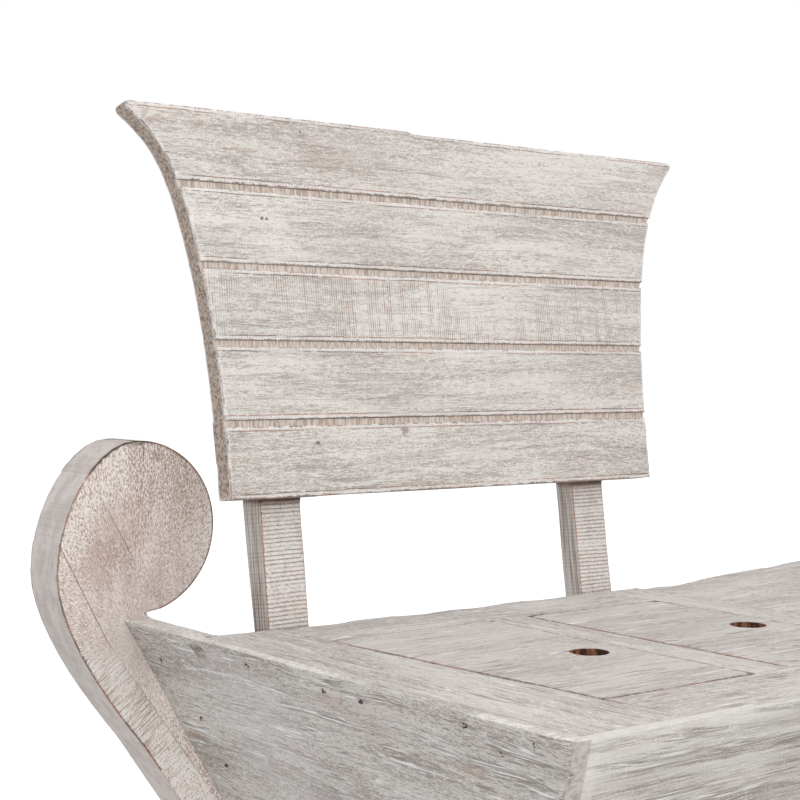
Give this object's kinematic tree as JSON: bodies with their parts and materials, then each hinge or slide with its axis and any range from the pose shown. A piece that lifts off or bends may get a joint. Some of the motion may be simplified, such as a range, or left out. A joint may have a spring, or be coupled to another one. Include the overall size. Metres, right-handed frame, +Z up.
{
  "type": "wooden bench",
  "caption": "Whitewashed plank bench with seats facing opposite ways, flared plank backrests, scroll ends and lift-out lids over storage boxes.",
  "frame": {"origin": "middle of the floor rectangle that the bench covers, on the floor", "axes": "+X along the bench, +Z up; the left seat (-X half) faces -Y and the right seat faces +Y"},
  "size_m": [2.0374, 0.782, 0.953],
  "materials": {
    "back_wood": "matt whitewash over brown wood",
    "seat_wood": "matt whitewash, worn smooth",
    "front_wood": "matt whitewash over rough-sawn wood",
    "end_wood": "matt grey wash",
    "scroll_wood": "thin pinkish wash",
    "post_wood": "matt whitewash over saw marks",
    "inner_wood": "bare reclaimed wood",
    "iron": "dark and dull"
  },
  "bodies": {
    "bench": {"left_scroll_outer_plank": "scroll_wood", "left_scroll_middle_plank": "scroll_wood", "left_scroll_ear": "scroll_wood", "left_end_plank_upper": "end_wood", "left_end_plank_lower": "end_wood", "left_end_cleat": "inner_wood", "left_front_plank_upper": "front_wood", "left_front_plank_lower": "front_wood", "left_rear_planks": "inner_wood", "left_bulkhead": "inner_wood", "left_partition": "inner_wood", "left_lid_rails": "inner_wood", "left_seat_end_board": "seat_wood", "left_seat_front_board": "seat_wood", "left_seat_back_board": "seat_wood", "left_seat_divider": "seat_wood", "left_seat_inner_board": "seat_wood", "left_outer_post": "post_wood", "left_inner_post": "post_wood", "left_back_board_1": "back_wood", "left_back_board_2": "back_wood", "left_back_board_3": "back_wood", "left_back_board_4": "back_wood", "left_back_board_5": "back_wood", "left_foot": "post_wood", "right_scroll_outer_plank": "scroll_wood", "right_scroll_middle_plank": "scroll_wood", "right_scroll_ear": "scroll_wood", "right_end_plank_upper": "end_wood", "right_end_plank_lower": "end_wood", "right_end_cleat": "inner_wood", "right_front_plank_upper": "front_wood", "right_front_plank_lower": "front_wood", "right_rear_planks": "inner_wood", "right_bulkhead": "inner_wood", "right_partition": "inner_wood", "right_lid_rails": "inner_wood", "right_seat_end_board": "seat_wood", "right_seat_front_board": "seat_wood", "right_seat_back_board": "seat_wood", "right_seat_divider": "seat_wood", "right_seat_inner_board": "seat_wood", "right_outer_post": "post_wood", "right_inner_post": "post_wood", "right_back_board_1": "back_wood", "right_back_board_2": "back_wood", "right_back_board_3": "back_wood", "right_back_board_4": "back_wood", "right_back_board_5": "back_wood", "right_foot": "post_wood", "centre_top_planks": "seat_wood", "centre_front_planks": "front_wood", "centre_rear_planks": "front_wood", "bottom_boards": "inner_wood", "nails": "iron", "post_bolts": "iron"},
    "left_outer_lid": {"left_outer_lid": "seat_wood"},
    "left_inner_lid": {"left_inner_lid": "seat_wood"},
    "right_outer_lid": {"right_outer_lid": "seat_wood"},
    "right_inner_lid": {"right_inner_lid": "seat_wood"}
  },
  "joints": [
    {"name": "left_outer_lid_lift", "type": "slide", "parent": "bench", "child": "left_outer_lid", "axis": [0, 0, 1], "range_m": [0, 0.3]},
    {"name": "left_inner_lid_lift", "type": "slide", "parent": "bench", "child": "left_inner_lid", "axis": [0, 0, 1], "range_m": [0, 0.3]},
    {"name": "right_outer_lid_lift", "type": "slide", "parent": "bench", "child": "right_outer_lid", "axis": [0, 0, 1], "range_m": [0, 0.3]},
    {"name": "right_inner_lid_lift", "type": "slide", "parent": "bench", "child": "right_inner_lid", "axis": [0, 0, 1], "range_m": [0, 0.3]}
  ]
}
